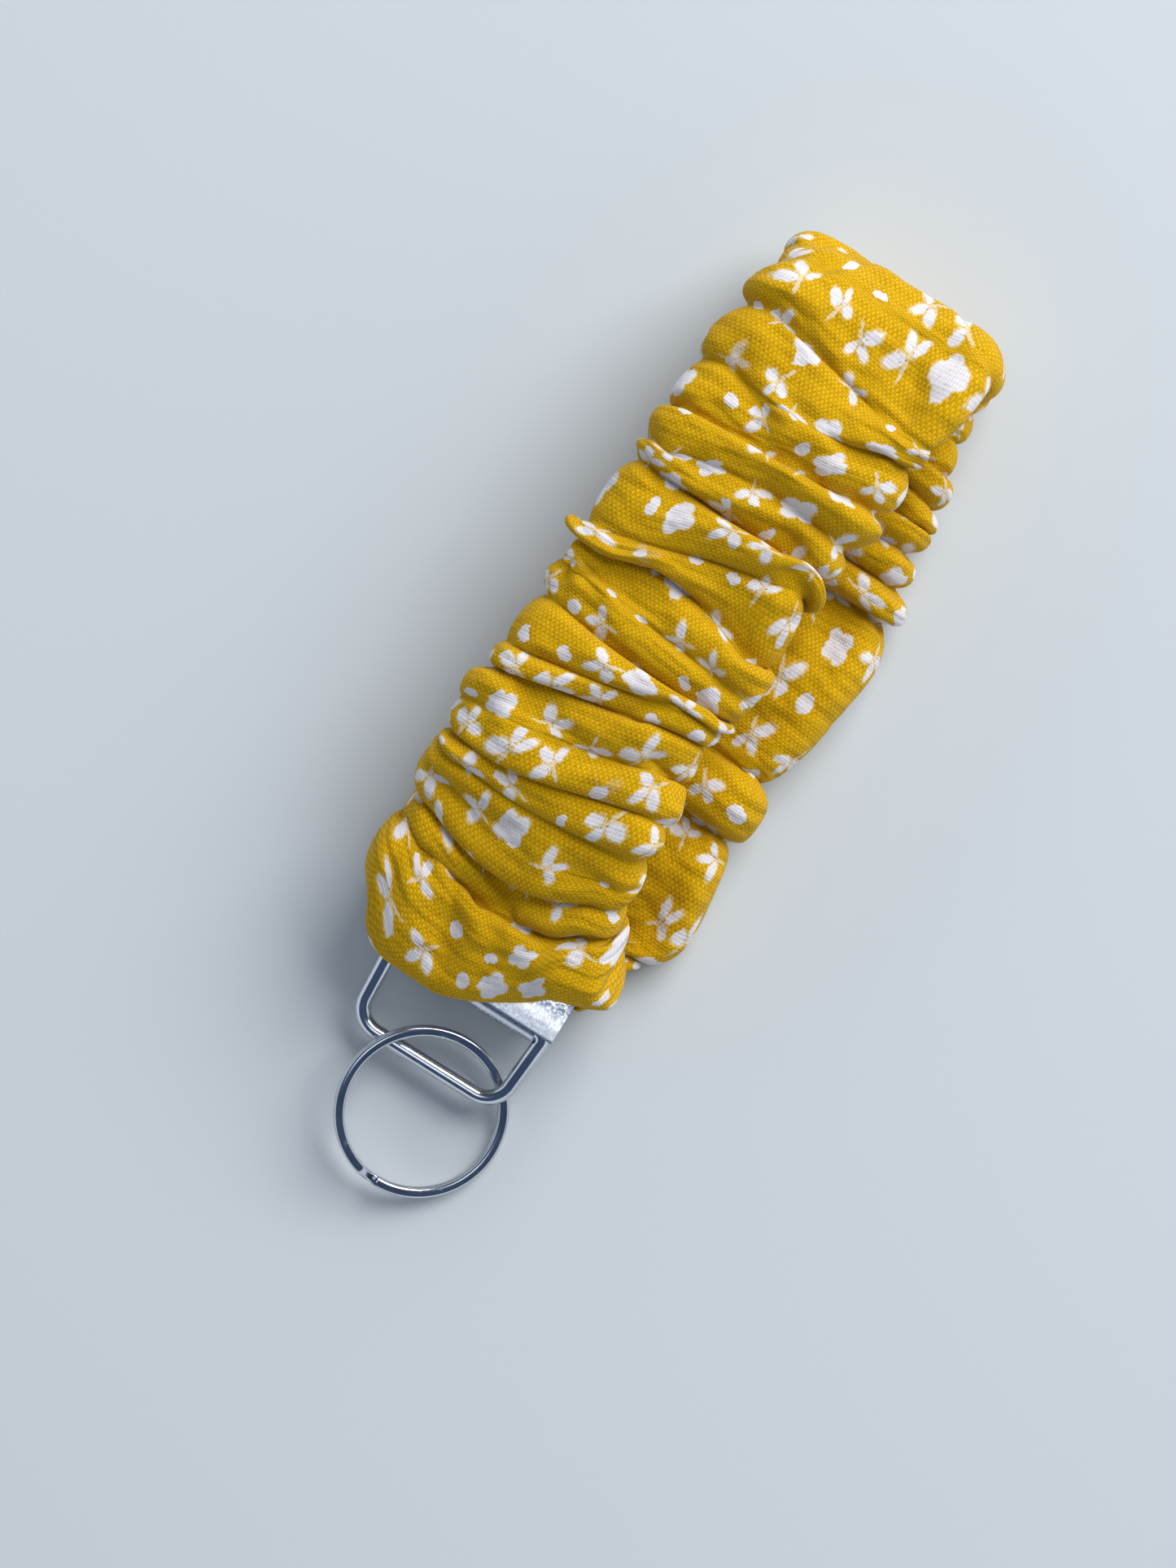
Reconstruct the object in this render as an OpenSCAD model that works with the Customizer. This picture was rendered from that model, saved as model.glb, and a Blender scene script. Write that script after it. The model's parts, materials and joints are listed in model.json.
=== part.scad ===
// Gathered wristlet key strap: an elastic band in a ruched cotton sleeve, folded in half into a
// crimped end clamp, with a wire loop hinged in the clamp and a split key ring on the loop.
// It lies flat on a surface: X runs along the strap towards its fold, Z is up, the origin is the
// middle of the footprint.

/* [Strap] */
// Distance from the clamp's hinge to the far end of the folded strap
strap_len = 119.5; // [105:0.5:135]
// Width of each gathered strand
strand_w = 36; // [33:0.5:38]
// Thickness of each gathered strand
strand_t = 12; // [11:0.5:12.5]
// Gap between the two strands, where the wrist goes
wrist_gap = 5; // [4.6:0.2:7]
// Thickness of the sleeve's wall, cloth with its fine creases
cloth_t = 0.7; // [0.6:0.05:0.9]

/* [Elastic] */
// Width of the flat elastic band
elastic_w = 25; // [22:0.5:25.4]
// Thickness of the elastic band
elastic_t = 1.1; // [0.9:0.05:1.15]

/* [Clamp] */
// Width of the clamp along its hinge
clamp_w = 27.4; // [26.4:0.2:28.4]
// Depth of the plates from the hinge axis to the mouth
clamp_depth = 10; // [9:0.5:11]
// Thickness of the folded sheet steel
sheet_t = 0.65; // [0.5:0.05:0.7]
// Height of the hinge axis above the surface the strap lies on
hinge_z = 7; // [6.8:0.1:7.4]
// Distance between the teeth along the mouth
tooth_pitch = 1.9; // [1.6:0.1:2.4]

/* [Wire loop] */
// Diameter of the loop's wire
wire_d = 2.3; // [2:0.1:2.4]
// Distance from the hinge axis to the middle of the loop's bar
loop_reach = 12.6; // [12:0.2:13]
// How far each arm leans in on its way from the hinge to the bar
loop_lean = 0.8; // [0.4:0.1:1]
// Bend radius of the two corners, to the middle of the wire
corner_r = 3.85; // [3:0.05:4.5]
// How far the loop hangs below level at rest, in degrees
loop_droop = 12; // [11.5:0.25:12.25]

/* [Split ring] */
// Outside diameter of the ring
ring_od = 25; // [24:0.5:26]
// Radial width of the ring's wire
ring_wire_w = 1.45; // [1.3:0.05:1.6]
// Height of one of the ring's two turns
ring_wire_h = 0.95; // [0.85:0.05:1]
// Tilt of the ring where it leans on the loop's bar, in degrees
ring_tilt = 14.4; // [14.2:0.1:15]
// Direction of the ring's kink, in degrees from +X
kink_at = 170; // [150:5:190]

/* [Hidden] */
$fn = 64;
fit_gap = 0.08;  // radial running clearance of the loop's wire in the clamp's roll
overlap = 0.03;  // how far a joining piece stays inside the solids that it joins

// The hinge frame has its origin under the hinge; the row frame is centred on the footprint.
ring_mid = [-18.5, -3.3];
footprint_mid = [(strap_len + ring_mid[0] - ring_od / 2) / 2 + 0.05, 0.35];

// Clamp
wire_r = wire_d / 2;
roll_ri = wire_r + fit_gap;
roll_ro = roll_ri + sheet_t;
arm_y = (clamp_w - wire_d) / 2;
hinge_bend_r = wire_r + 0.15;
lean_angle = atan2(loop_lean, loop_reach);
hinge_tangent = hinge_bend_r * tan((90 + lean_angle) / 2);
window_w = clamp_w / 2 - arm_y + hinge_tangent + 0.1;
window_lip = 76;   // angle above level at which the sheet over an arm ends
window_back = 1.9; // how far the window cuts back into the bottom plate
tooth_h = 0.45;

// Loop
bar_y = arm_y - loop_lean;
corner_tangent = corner_r * tan((90 - lean_angle) / 2);
sleeve_l = 0.1;   // a straight stretch laps each bend by this length
sleeve_t = 0.01;  // and is thicker by this much, so that the two join cleanly

// Ring
ring_r = (ring_od - ring_wire_w) / 2;
ring_chamfer = 0.22;
ring_uphill = 75.5; // direction in which the tilted ring rises
ring_z = ring_od / 2 * sin(ring_tilt) + ring_wire_h * cos(ring_tilt);
kink_arc = 13;
end_gap = 0.6;
turn_gap = 0.03; // the two turns lie on each other, a hair apart

// Sleeve: two rails, the wrist side (inner) and the outside (outer), are swept round the fold.
sides = 16;
fullness = 0.72;  // exponent that makes the oval section boxier
fold_steps = 10;
strand_steps = 26;
stack_h = 2 * strand_t + wrist_gap;
fold_r = stack_h / 2;
fold_x = strap_len - fold_r;
mouth_x = 16;     // where the wrist side of the sleeve starts
low_hem_x = 5;    // how far the lower strand reaches back under the clamp
top_hem_x = -3;   // how far the upper strand reaches back over the clamp

// Heights and middles along X, in the hinge frame; each pair is [X, value].
low_inner_z = [[mouth_x, 5], [22, 8], [30, strand_t], [150, strand_t]];
top_inner_z = [[mouth_x, 9.6], [22, 13], [30, strand_t + wrist_gap], [150, strand_t + wrist_gap]];
top_outer_z = [[top_hem_x, 15.5], [1, 18.5], [8, 22.5], [18, 27], [30, stack_h], [150, stack_h]];
low_mid_y = [[0, -1], [22, -4.4], [50, -4], [66, -6.3], [85, -4.2], [103, -1]];
top_mid_y = [[0, 0], [12, 2.5], [24, 6], [45, 6.2], [60, 4.6], [80, 4.4], [103, -0.2], [120, -0.2]];
half_w = [[0, 0.9], [14, 1], [45, 0.99], [60, 0.93], [80, 1], [150, 1]];
low_band_z = [[10, hinge_z - 0.56], [mouth_x, 3.4], [30, strand_t / 2], [150, strand_t / 2]];
top_band_z = [[10, hinge_z + 0.56], [mouth_x, 12.4], [22, 18], [30, stack_h - strand_t / 2],
              [150, stack_h - strand_t / 2]];

function mix(a, b, t) = a + (b - a) * t;
function unit(v) = v / norm(v);
function keep_above(p, z) = [p[0], p[1], max(z, p[2])];

// A station is [inner point, outer point, middle Y, half width]; both points are [X, Z].
function low_station(t) =
    let (xi = mix(mouth_x, fold_x, t), xo = mix(low_hem_x, fold_x, t))
    [[xi, lookup(xi, low_inner_z)], [xo, -0.45], lookup(xo, low_mid_y),
     strand_w / 2 * lookup(xo, half_w)];
function top_station(t) =
    let (xi = mix(fold_x, mouth_x, t), xo = mix(fold_x, top_hem_x, t))
    [[xi, lookup(xi, top_inner_z)], [xo, lookup(xo, top_outer_z)], lookup(xo, top_mid_y),
     strand_w / 2 * lookup(xo, half_w)];
function fold_station(t) =
    let (a = mix(-90, 90, t), d = [cos(a), sin(a)], c = [fold_x, fold_r])
    [c + d * wrist_gap / 2, c + d * (fold_r + 0.45 * (1 - t)), mix(-1, -0.2, t), strand_w / 2];
stations = [
    for (i = [0 : strand_steps]) low_station(i / strand_steps),
    for (i = [1 : fold_steps - 1]) fold_station(i / fold_steps),
    for (i = [0 : strand_steps]) top_station(i / strand_steps)
];

function superellipse(a) = [sign(cos(a)) * pow(abs(cos(a)), fullness),
                            sign(sin(a)) * pow(abs(sin(a)), fullness)];

// One ring of the sleeve's section at a station, pulled in from the outside by depth.
function section(s, depth) =
    let (mid = (s[0] + s[1]) / 2, reach = norm(s[1] - s[0]) / 2 - depth, d = unit(s[1] - s[0]))
    [for (k = [0 : sides - 1])
        let (e = superellipse(360 * k / sides), p = mid + d * reach * e[1])
        keep_above([p[0], s[2] + (s[3] - depth) * e[0], p[1]], depth)];

// Faces of a closed skin over rings of n points each.
function skin_faces(rings, n) = [
    for (i = [0 : rings - 2]) for (k = [0 : n - 1])
        let (a = i * n + k, b = i * n + (k + 1) % n)
        each [[a, b, a + n], [b, b + n, a + n]]
];

// Solid swept through a list of rings, closed at both ends.
module sweep(rings) {
    n = len(rings[0]);
    last = (len(rings) - 1) * n;
    polyhedron(
        points = [for (r = rings) each r],
        faces = concat(skin_faces(len(rings), n),
                       [[for (k = [n - 1 : -1 : 0]) k]],
                       [[for (k = [0 : n - 1]) last + k]]));
}

// Tube swept through outer and inner rings, open at both ends.
module sweep_tube(outer, inner) {
    n = len(outer[0]);
    m = len(outer);
    all_outer = m * n;
    flipped = [for (f = skin_faces(m, n)) [for (v = [2, 1, 0]) f[v] + all_outer]];
    rims = [
        for (k = [0 : n - 1])
            let (b = (k + 1) % n, e = (m - 1) * n)
            each [[k, k + all_outer, b], [b, k + all_outer, b + all_outer],
                  [e + k, e + b, e + k + all_outer], [e + b, e + b + all_outer, e + k + all_outer]]
    ];
    polyhedron(points = concat([for (r = outer) each r], [for (r = inner) each r]),
               faces = concat(skin_faces(m, n), flipped, rims));
}

// Moves a solid from the hinge frame to the row frame.
module placed() {
    translate([-footprint_mid[0], -footprint_mid[1], 0]) children();
}

// Turns a shape drawn in X and Z, extruded, so that it lies across the strap between two Y values.
module across(from_y, to_y) {
    translate([0, to_y, 0]) rotate([90, 0, 0]) linear_extrude(to_y - from_y) children();
}

module window_shape() {
    far = 4;
    polygon([[0, 0], [-far * cos(window_lip), far * sin(window_lip)], [-far, far / 2],
             [-far, -far], [window_back, -far], [window_back, 0]]);
}

module tooth_row() {
    count = floor((clamp_w - 1) / tooth_pitch);
    points = [for (i = [0 : count - 1]) each
        [[i * tooth_pitch, sheet_t], [(i + 0.5) * tooth_pitch, sheet_t + tooth_h]]];
    span = count * tooth_pitch;
    rotate([0, 90, 0]) rotate([0, 0, 90])
        linear_extrude(sheet_t)
            translate([-span / 2, -roll_ro])
                polygon(concat([[0, 0]], points, [[span, sheet_t], [span, 0]]));
}

module crimp_clamp() {
    color("gainsboro") placed() translate([0, 0, hinge_z]) {
        difference() {
            union() {
                rotate([90, 0, 0]) cylinder(r = roll_ro, h = clamp_w, center = true);
                translate([0, -clamp_w / 2, -roll_ro]) cube([clamp_depth, clamp_w, 2 * roll_ro]);
            }
            rotate([90, 0, 0]) cylinder(r = roll_ri, h = clamp_w + 2, center = true);
            translate([0, -clamp_w / 2 - 1, -roll_ri])
                cube([clamp_depth + 1, clamp_w + 2, 2 * roll_ri]);
            across(clamp_w / 2 - window_w, clamp_w / 2 + 1) window_shape();
            across(-clamp_w / 2 - 1, window_w - clamp_w / 2) window_shape();
        }
        for (flip = [0, 180])
            rotate([flip, 0, 0]) translate([clamp_depth - sheet_t, 0, 0]) tooth_row();
    }
}

// Straight stretch of wire between two points, which sleeves the ends of the bends it meets.
module wire(from, to) {
    d = to - from;
    translate(from)
        rotate([0, acos(d[2] / norm(d)), atan2(d[1], d[0])])
            translate([0, 0, -sleeve_l])
                cylinder(r = wire_r + sleeve_t, h = norm(d) + 2 * sleeve_l);
}

// Bend of the wire about a centre, between two angles.
module wire_bend(centre, bend_r, from, to) {
    translate([centre[0], centre[1], 0]) rotate([0, 0, from])
        rotate_extrude(angle = to - from)
            translate([bend_r, 0]) circle(d = wire_d);
}

module wire_loop() {
    heading = [-cos(lean_angle), -sin(lean_angle), 0];
    inward = [sin(lean_angle), -cos(lean_angle), 0];
    arm_start = [0, arm_y, 0] + heading * hinge_tangent;
    arm_end = [-loop_reach, bar_y, 0] - heading * corner_tangent;
    pin_y = arm_y - hinge_tangent;
    straight_y = bar_y - corner_tangent;
    color("silver") placed() translate([0, 0, hinge_z]) rotate([0, -loop_droop, 0]) {
        wire([0, -pin_y, 0], [0, pin_y, 0]);
        wire([-loop_reach, -straight_y, 0], [-loop_reach, straight_y, 0]);
        for (side = [0, 1]) mirror([0, side, 0]) {
            wire(arm_start, arm_end);
            wire_bend(arm_start + inward * hinge_bend_r, hinge_bend_r, 0, 90 + lean_angle);
            wire_bend(arm_end + inward * corner_r, corner_r, 90 + lean_angle, 180);
        }
    }
}

// Section of the ring's flattened wire, with its middle at the ring's radius.
module ring_section(inset) {
    w = ring_wire_w / 2 - inset;
    h = ring_wire_h / 2 - inset;
    c = ring_chamfer;
    translate([ring_r, 0])
        polygon([[w - c, -h], [w, c - h], [w, h - c], [w - c, h], [c - w, h], [-w, h - c],
                 [-w, c - h], [c - w, -h]]);
}

// Part of one turn of the ring between two angles.
module ring_turn(from, to, inset = 0) {
    rotate([0, 0, from]) rotate_extrude(angle = to - from, $fn = 96) ring_section(inset);
}

// Two turns of one wire, joined by a short kink; each turn's end butts against the kink.
module split_ring() {
    half = kink_arc / 2;
    lift = (ring_wire_h + turn_gap) / 2;
    bite = 2;
    slice = 0.3;
    color("slategray") placed()
        translate([ring_mid[0], ring_mid[1], ring_z])
            rotate(a = ring_tilt, v = [sin(ring_uphill), -cos(ring_uphill), 0])
                rotate([0, 0, kink_at]) {
                    translate([0, 0, lift]) ring_turn(half + end_gap, 360 - half);
                    translate([0, 0, -lift]) ring_turn(half, 360 - half - end_gap);
                    hull() {
                        translate([0, 0, lift])
                            ring_turn(-half - bite, slice - half - bite, overlap);
                        translate([0, 0, -lift])
                            ring_turn(half + bite - slice, half + bite, overlap);
                    }
                }
}

// Rings of the band's flat section: both ends lie in the clamp, one on the other.
function band_ring(x, z, y, slope) =
    let (n = [-sin(slope), cos(slope)] * elastic_t / 2, w = elastic_w / 2)
    [[x - n[0], y - w, z - n[1]], [x - n[0], y + w, z - n[1]],
     [x + n[0], y + w, z + n[1]], [x + n[0], y - w, z + n[1]]];
function band_y(x, mid_y) = x < 14 ? 0 : lookup(x, mid_y) * min(1, (x - 14) / 26);
function slope_at(x, heights) =
    x <= 10 ? 0 : atan2(lookup(x + 1, heights) - lookup(x - 1, heights), 2);
band_r = (stack_h - strand_t) / 2;
band_stations = [1.6, 6, 10, 12, 14, 16, 19, 22, 26, 30, 36, 42, 48, 54, 60, 66, 72, 78, 84, 90, 96,
                 fold_x];
band_rings = concat(
    [for (x = band_stations)
        band_ring(x, lookup(x, low_band_z), band_y(x, low_mid_y), slope_at(x, low_band_z))],
    [for (i = [1 : fold_steps - 1])
        let (a = mix(-90, 90, i / fold_steps))
        band_ring(fold_x + band_r * cos(a), fold_r + band_r * sin(a), -0.6, a + 90)],
    [for (i = [len(band_stations) - 1 : -1 : 0])
        let (x = band_stations[i])
        band_ring(x, lookup(x, top_band_z), band_y(x, top_mid_y), 180 + slope_at(x, top_band_z))]);

module elastic_band() {
    color("tan") placed() sweep(band_rings);
}

module fabric_sleeve() {
    color("goldenrod") placed()
        sweep_tube([for (s = stations) section(s, 0)], [for (s = stations) section(s, cloth_t)]);
}

// Lockstitch rows through both ends of the elastic, inside the clamp.
module end_stitching() {
    thread_d = 0.2;
    stitch = 2.5;
    rows = [4, 7];
    reach = elastic_t;
    half = 4.5 * stitch;
    color("khaki") placed() translate([0, 0, hinge_z]) for (x = rows) {
        for (side = [-1, 1])
            translate([x, 0, side * reach]) rotate([90, 0, 0])
                cylinder(d = thread_d, h = 2 * half + thread_d, center = true);
        for (i = [0 : 9])
            translate([x, i * stitch - half, 0])
                cylinder(d = thread_d, h = 2 * reach, center = true);
    }
}

// Thread of the sleeve's long seam, which lies inside on the wrist side.
module seam_stitching() {
    thread_r = 0.2;
    depth = cloth_t + 0.05;
    color("khaki") placed() sweep([
        for (s = stations)
            let (d = unit(s[1] - s[0]), p = s[0] + d * depth)
            [for (k = [0 : 5])
                let (a = 60 * k)
                [p[0] + d[0] * thread_r * sin(a), s[2] + thread_r * cos(a),
                 p[1] + d[1] * thread_r * sin(a)]]]);
}

crimp_clamp();
wire_loop();
split_ring();
elastic_band();
fabric_sleeve();
end_stitching();
seam_stitching();
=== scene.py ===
"""Wristlet keychain: the looks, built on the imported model. Metres, in the row frame."""

import json
import math
import random

import bmesh
import bpy
import numpy as np
from mathutils import Matrix, Vector


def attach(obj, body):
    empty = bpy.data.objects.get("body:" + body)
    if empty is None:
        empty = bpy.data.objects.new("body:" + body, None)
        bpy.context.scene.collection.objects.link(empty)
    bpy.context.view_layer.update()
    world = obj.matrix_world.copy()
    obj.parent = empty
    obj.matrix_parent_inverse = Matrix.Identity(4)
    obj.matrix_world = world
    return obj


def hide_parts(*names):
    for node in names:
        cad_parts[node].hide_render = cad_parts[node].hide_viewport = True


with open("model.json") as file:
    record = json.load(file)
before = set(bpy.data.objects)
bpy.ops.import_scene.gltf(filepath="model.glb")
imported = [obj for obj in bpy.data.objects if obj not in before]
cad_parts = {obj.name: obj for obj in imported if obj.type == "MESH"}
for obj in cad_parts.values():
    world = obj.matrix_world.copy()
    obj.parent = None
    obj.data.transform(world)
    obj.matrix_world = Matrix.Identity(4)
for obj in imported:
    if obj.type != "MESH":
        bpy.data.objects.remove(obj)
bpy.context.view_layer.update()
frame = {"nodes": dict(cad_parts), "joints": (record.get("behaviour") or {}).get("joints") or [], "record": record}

MM = 0.001
HINGE = next(j for j in frame["joints"] if j["name"] == "loop_hinge")
ORIGIN = np.array([HINGE["pos_m"][0], HINGE["pos_m"][1], 0.0])  # under the hinge, on the table

# ---------------------------------------------------------------- sleeve, in mm from the hinge
GRID = 1.4  # spacing of the cloth's grid
GIRTH = 85.0  # once round the tube of cloth
SPARE = 1.04  # cloth along the tube, as a share of what the start shape takes up
ROUND = 64  # grid points round the tube
MOUTH_X = 10.0  # where the clamp lets go of the cloth
FOLD_X = 103.0  # where the strap starts to turn back
FOLD_Z = 14.5
BAND_R = 8.5  # radius of the elastic band in the turn
# Middle line of each strand, as (X, Z) and (X, Y), and half its width, over X.
LOW_Z = [(10, 6.44), (16, 3.6), (30, 6), (105, 6)]
TOP_Z = [(10, 7.56), (16, 12.4), (22, 18), (30, 23), (105, 23)]
LOW_Y = [(0, -0.5), (14, -3), (20, -6.6), (28, -6.6), (36, -5), (42, -3.4), (50, -4.6), (60, -6.2),
         (70, -7), (78, -5), (85, -3), (103, -1), (120, -0.6)]
TOP_Y = [(0, 0), (12, 1.0), (23, 7.4), (40, 6.2), (50, 5.2), (60, 4.4), (70, 4.4), (80, 3.8), (92, 2),
         (103, 0.2), (120, -0.4)]
TOP_W = [(0, 15.3), (42, 15.3), (54, 14.1), (74, 14.1), (84, 15.2), (120, 15.3)]
LAST_X = 113  # the strand's outline over X is used no further than this
# Room for the cloth on the wrist side of each strand, over X.
LOW_ROOM = [(10, 0.9), (16, 1.5), (22, 3.4), (30, 6.2), (120, 6.2)]
TOP_ROOM = [(10, 0.9), (16, 2.6), (22, 4.8), (30, 6.2), (120, 6.2)]
SQUEEZE = 0.15  # share of what goes past that room that is left
HEAP = [(10, 1.0), (13, 5.0), (18, 4.6), (32, 0), (120, 0)]  # cloth heaped up near the clamp
BASE_W, BASE_H = 15.3, 2.1  # half width and half height of the cloth at a crease
CLAMPED_W, CLAMPED_H = 12.6, 0.7  # the same in the clamp's mouth
OPENS_OVER = 13  # length over which the tube opens from its clamped ends
FOLDS_GROW_OVER = 7  # length over which the folds grow from there
SECTION_LIFT = 2.5  # how far out of a crease the grid is evenly spaced
TABLE_GAP = 0.3  # lowest that the cloth starts above the table

# Creases across the strap: X in the middle, at the +Y edge and at the -Y edge, and depth.
TOP_CREASES = [
    (10.5, 13.0, 17.0, 0.9), (15.3, 18.3, 20.5, 0.9), (20.5, 23.0, 23.5, 0.15), (25.4, 27.5, 26.0, 0.8),
    (29.2, 29.6, 31.5, 0.8), (36.5, 35.0, 38.5, 0.15), (43.3, 40.5, 45.5, 0.9), (46.6, 45.0, 48.5, 0.35),
    (51.2, 53.0, 50.8, 1.0), (57.0, 58.5, 55.5, 0.25), (64.2, 62.6, 60.6, 0.9), (68.6, 65.0, 72.0, 0.9),
    (75.0, 75.2, 74.6, 1.0), (79.2, 77.8, 79.0, 0.8), (83.5, 83.8, 83.5, 1.0), (89.0, 91.5, 90.5, 0.6),
    (97.5, 100.0, 93.5, 0.6),
]
LOW_CREASES = [
    (12.0, 12.5, 12.0, 0.9), (17.5, 18.0, 16.5, 0.9), (39.0, 39.5, 38.3, 1.0), (47.0, 47.0, 46.7, 1.0),
    (75.5, 73.0, 76.0, 1.0), (80.0, 79.0, 80.0, 0.9),
    (84.0, 85.0, 84.0, 1.0), (88.5, 90.0, 88.0, 0.9), (93.0, 95.0, 92.0, 0.9),
    (98.5, 100.5, 98.0, 0.8), (104.0, 105.5, 103.5, 0.8),
]
CREASE_GAP = 1.6  # least distance between creases, along the band
WANDER_LOW, WANDER_TURN, WANDER_TOP = 0.8, 0.7, 0.9  # how far a crease strays from its line
WANDER_DEPTH = 0.3
FULL_TURN = 6.28  # range of a random phase
CREASE_HOLD, TURN_HOLD = 0.2, 0.15  # how firmly creases stay put while the cloth settles
TURN_LIFT, TURN_SIDE_LIFT = 2.9, 4.6  # most the cloth stands off its creases in the turn
TURN_OUTSIDE = 1.06  # how much further the cloth goes round the turn than the band
FULLNESS = 0.7  # below 1 folds are broad on top with narrow creases between
TURN_CREASES = [(-62, 0.7), (-30, 0.5), (14, 0.25), (62, 0.3)]  # angle, depth
TURN_EASE = 4  # length in X over which the turn's limits come in

# A fold grows with its width, between limits; so does the most that any part of it stands up.
FOLD_BASE, FOLD_SLOPE, FOLD_LEAST, FOLD_MOST = 2.5, 0.24, 3.1, 4.5
TALL_BASE, TALL_SLOPE, TALL_LEAST, TALL_MOST = 2.4, 0.8, 2.6, 5.6
FOLD_LEAN = 0.35  # how far a fold leans along the band, as a share of its height

# Cloth along the puffed hems at the clamp, over it and under it.
TOP_HEM_LENGTH, LOW_HEM_LENGTH = 31.0, 18.0
LOW_HEM_REACH = 5.5  # how far the lower hem goes back under the clamp
HEM_REACH_Y = [-18, -14, -10, -5, 0, 5, 14, 17, 20]
HEM_REACH = [0.5, 2, 4, 7.5, 11.2, 13.2, 12.4, 10.5, 7]  # of the upper hem, over Y
HEM_PUFF = [(0.0, 8.5), (0.3, 9.6), (0.75, 10.2), (1.0, 12.6), (0.92, 16.2), (0.62, 19.8),
            (0.22, 22.2)]  # share of the reach, Z
HEM_SWELL_PLUS, HEM_SWELL_MINUS = 0.9, 0.8  # towards +Y, at the hem's +Y and -Y edges
UNDER_CLAMP_Y, UNDER_CLAMP_Z = 14.6, 4.5  # half width and top of the space under the clamp


def smooth_step(t):
    """0 to 1 with a level start and end."""
    return t * t * (3 - 2 * t)


def smooth_curve(pairs, xs, width=4.0):
    """Values at xs of a polyline, rounded over a width by averaging."""
    px, pz = zip(*pairs)
    offs = np.linspace(-1, 1, 17)
    weight = 1 - np.abs(offs)
    vals = [np.interp(xs + o * width, px, pz) for o in offs]
    return np.tensordot(weight / weight.sum(), np.array(vals), 1)


class Path:
    """Middle line of the sleeve: lower strand, turn, upper strand, as X and Z over length."""

    def __init__(self):
        step = 0.25
        xs = np.arange(MOUTH_X, FOLD_X + 1e-6, step)
        ease = np.clip((xs - MOUTH_X) / 4, 0, 1)
        low = smooth_curve(LOW_Z, xs) * ease + LOW_Z[0][1] * (1 - ease)
        top = smooth_curve(TOP_Z, xs) * ease + TOP_Z[0][1] * (1 - ease)
        ang = np.radians(np.linspace(-90, 90, 109))[1:-1]
        x = np.concatenate([xs, FOLD_X + BAND_R * np.cos(ang), xs[::-1]])
        z = np.concatenate([low, FOLD_Z + BAND_R * np.sin(ang), top[::-1]])
        self.s = np.concatenate([[0], np.cumsum(np.hypot(np.diff(x), np.diff(z)))])
        self.x, self.z = x, z
        tx, tz = np.gradient(x, self.s), np.gradient(z, self.s)
        n = np.hypot(tx, tz)
        self.nx, self.nz = tz / n, -tx / n
        self.turn_start = self.s[len(xs) - 1]
        self.turn_end = self.s[len(xs) + len(ang)]
        self.length = self.s[-1]
        y_low = smooth_curve(LOW_Y, np.minimum(x, LAST_X))
        y_top = smooth_curve(TOP_Y, np.minimum(x, LAST_X))
        share = np.clip((self.s - self.turn_start) / (self.turn_end - self.turn_start), 0, 1)
        self.y = y_low * (1 - share) + y_top * share
        room_low = smooth_curve(LOW_ROOM, x, 2)
        room_top = smooth_curve(TOP_ROOM, x, 2)
        self.room = room_low * (1 - share) + room_top * share
        self.heap = smooth_curve(HEAP, x, 2) * (share >= 1)
        self.half_w = BASE_W * (1 - share) + smooth_curve(TOP_W, x) * share

    def at(self, s):
        """X, Z, Y, direction out, room, heap and half width at that length."""
        curves = (self.x, self.z, self.y, self.nx, self.nz, self.room, self.heap, self.half_w)
        return [np.interp(s, self.s, curve) for curve in curves]

    def find(self, x, upper, lift=4.0):
        """Length along the path whose cloth, lifted off the band, shows at X."""
        half = self.s > self.turn_end if upper else self.s < self.turn_start
        shown = self.x[half] + (lift + self.heap[half]) * self.nx[half]
        order = np.argsort(shown)
        return np.interp(x, shown[order], self.s[half][order])


def section_points():
    """Grid points round a flat oval: its direction out, and its place as shares of the sizes."""
    flat = 2 * (BASE_W - BASE_H)
    arc = math.pi * (BASE_H + SECTION_LIFT)
    total = 2 * (flat + arc)
    out, place = [], []
    for j in range(ROUND):
        d = (j / ROUND * total + arc / 2) % total  # zero is the middle of the +Y edge
        side, r = (1, d) if d < total / 2 else (-1, d - total / 2)
        if r < arc:
            a = math.pi * (r / arc - 0.5)
            out.append((side * math.cos(a), side * math.sin(a)))
            place.append(side * 1.0)
        else:
            out.append((0.0, side * 1.0))
            place.append(side * (1 - 2 * (r - arc) / flat))
    return np.array(out), np.array(place)


OUT, PLACE = section_points()


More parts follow.
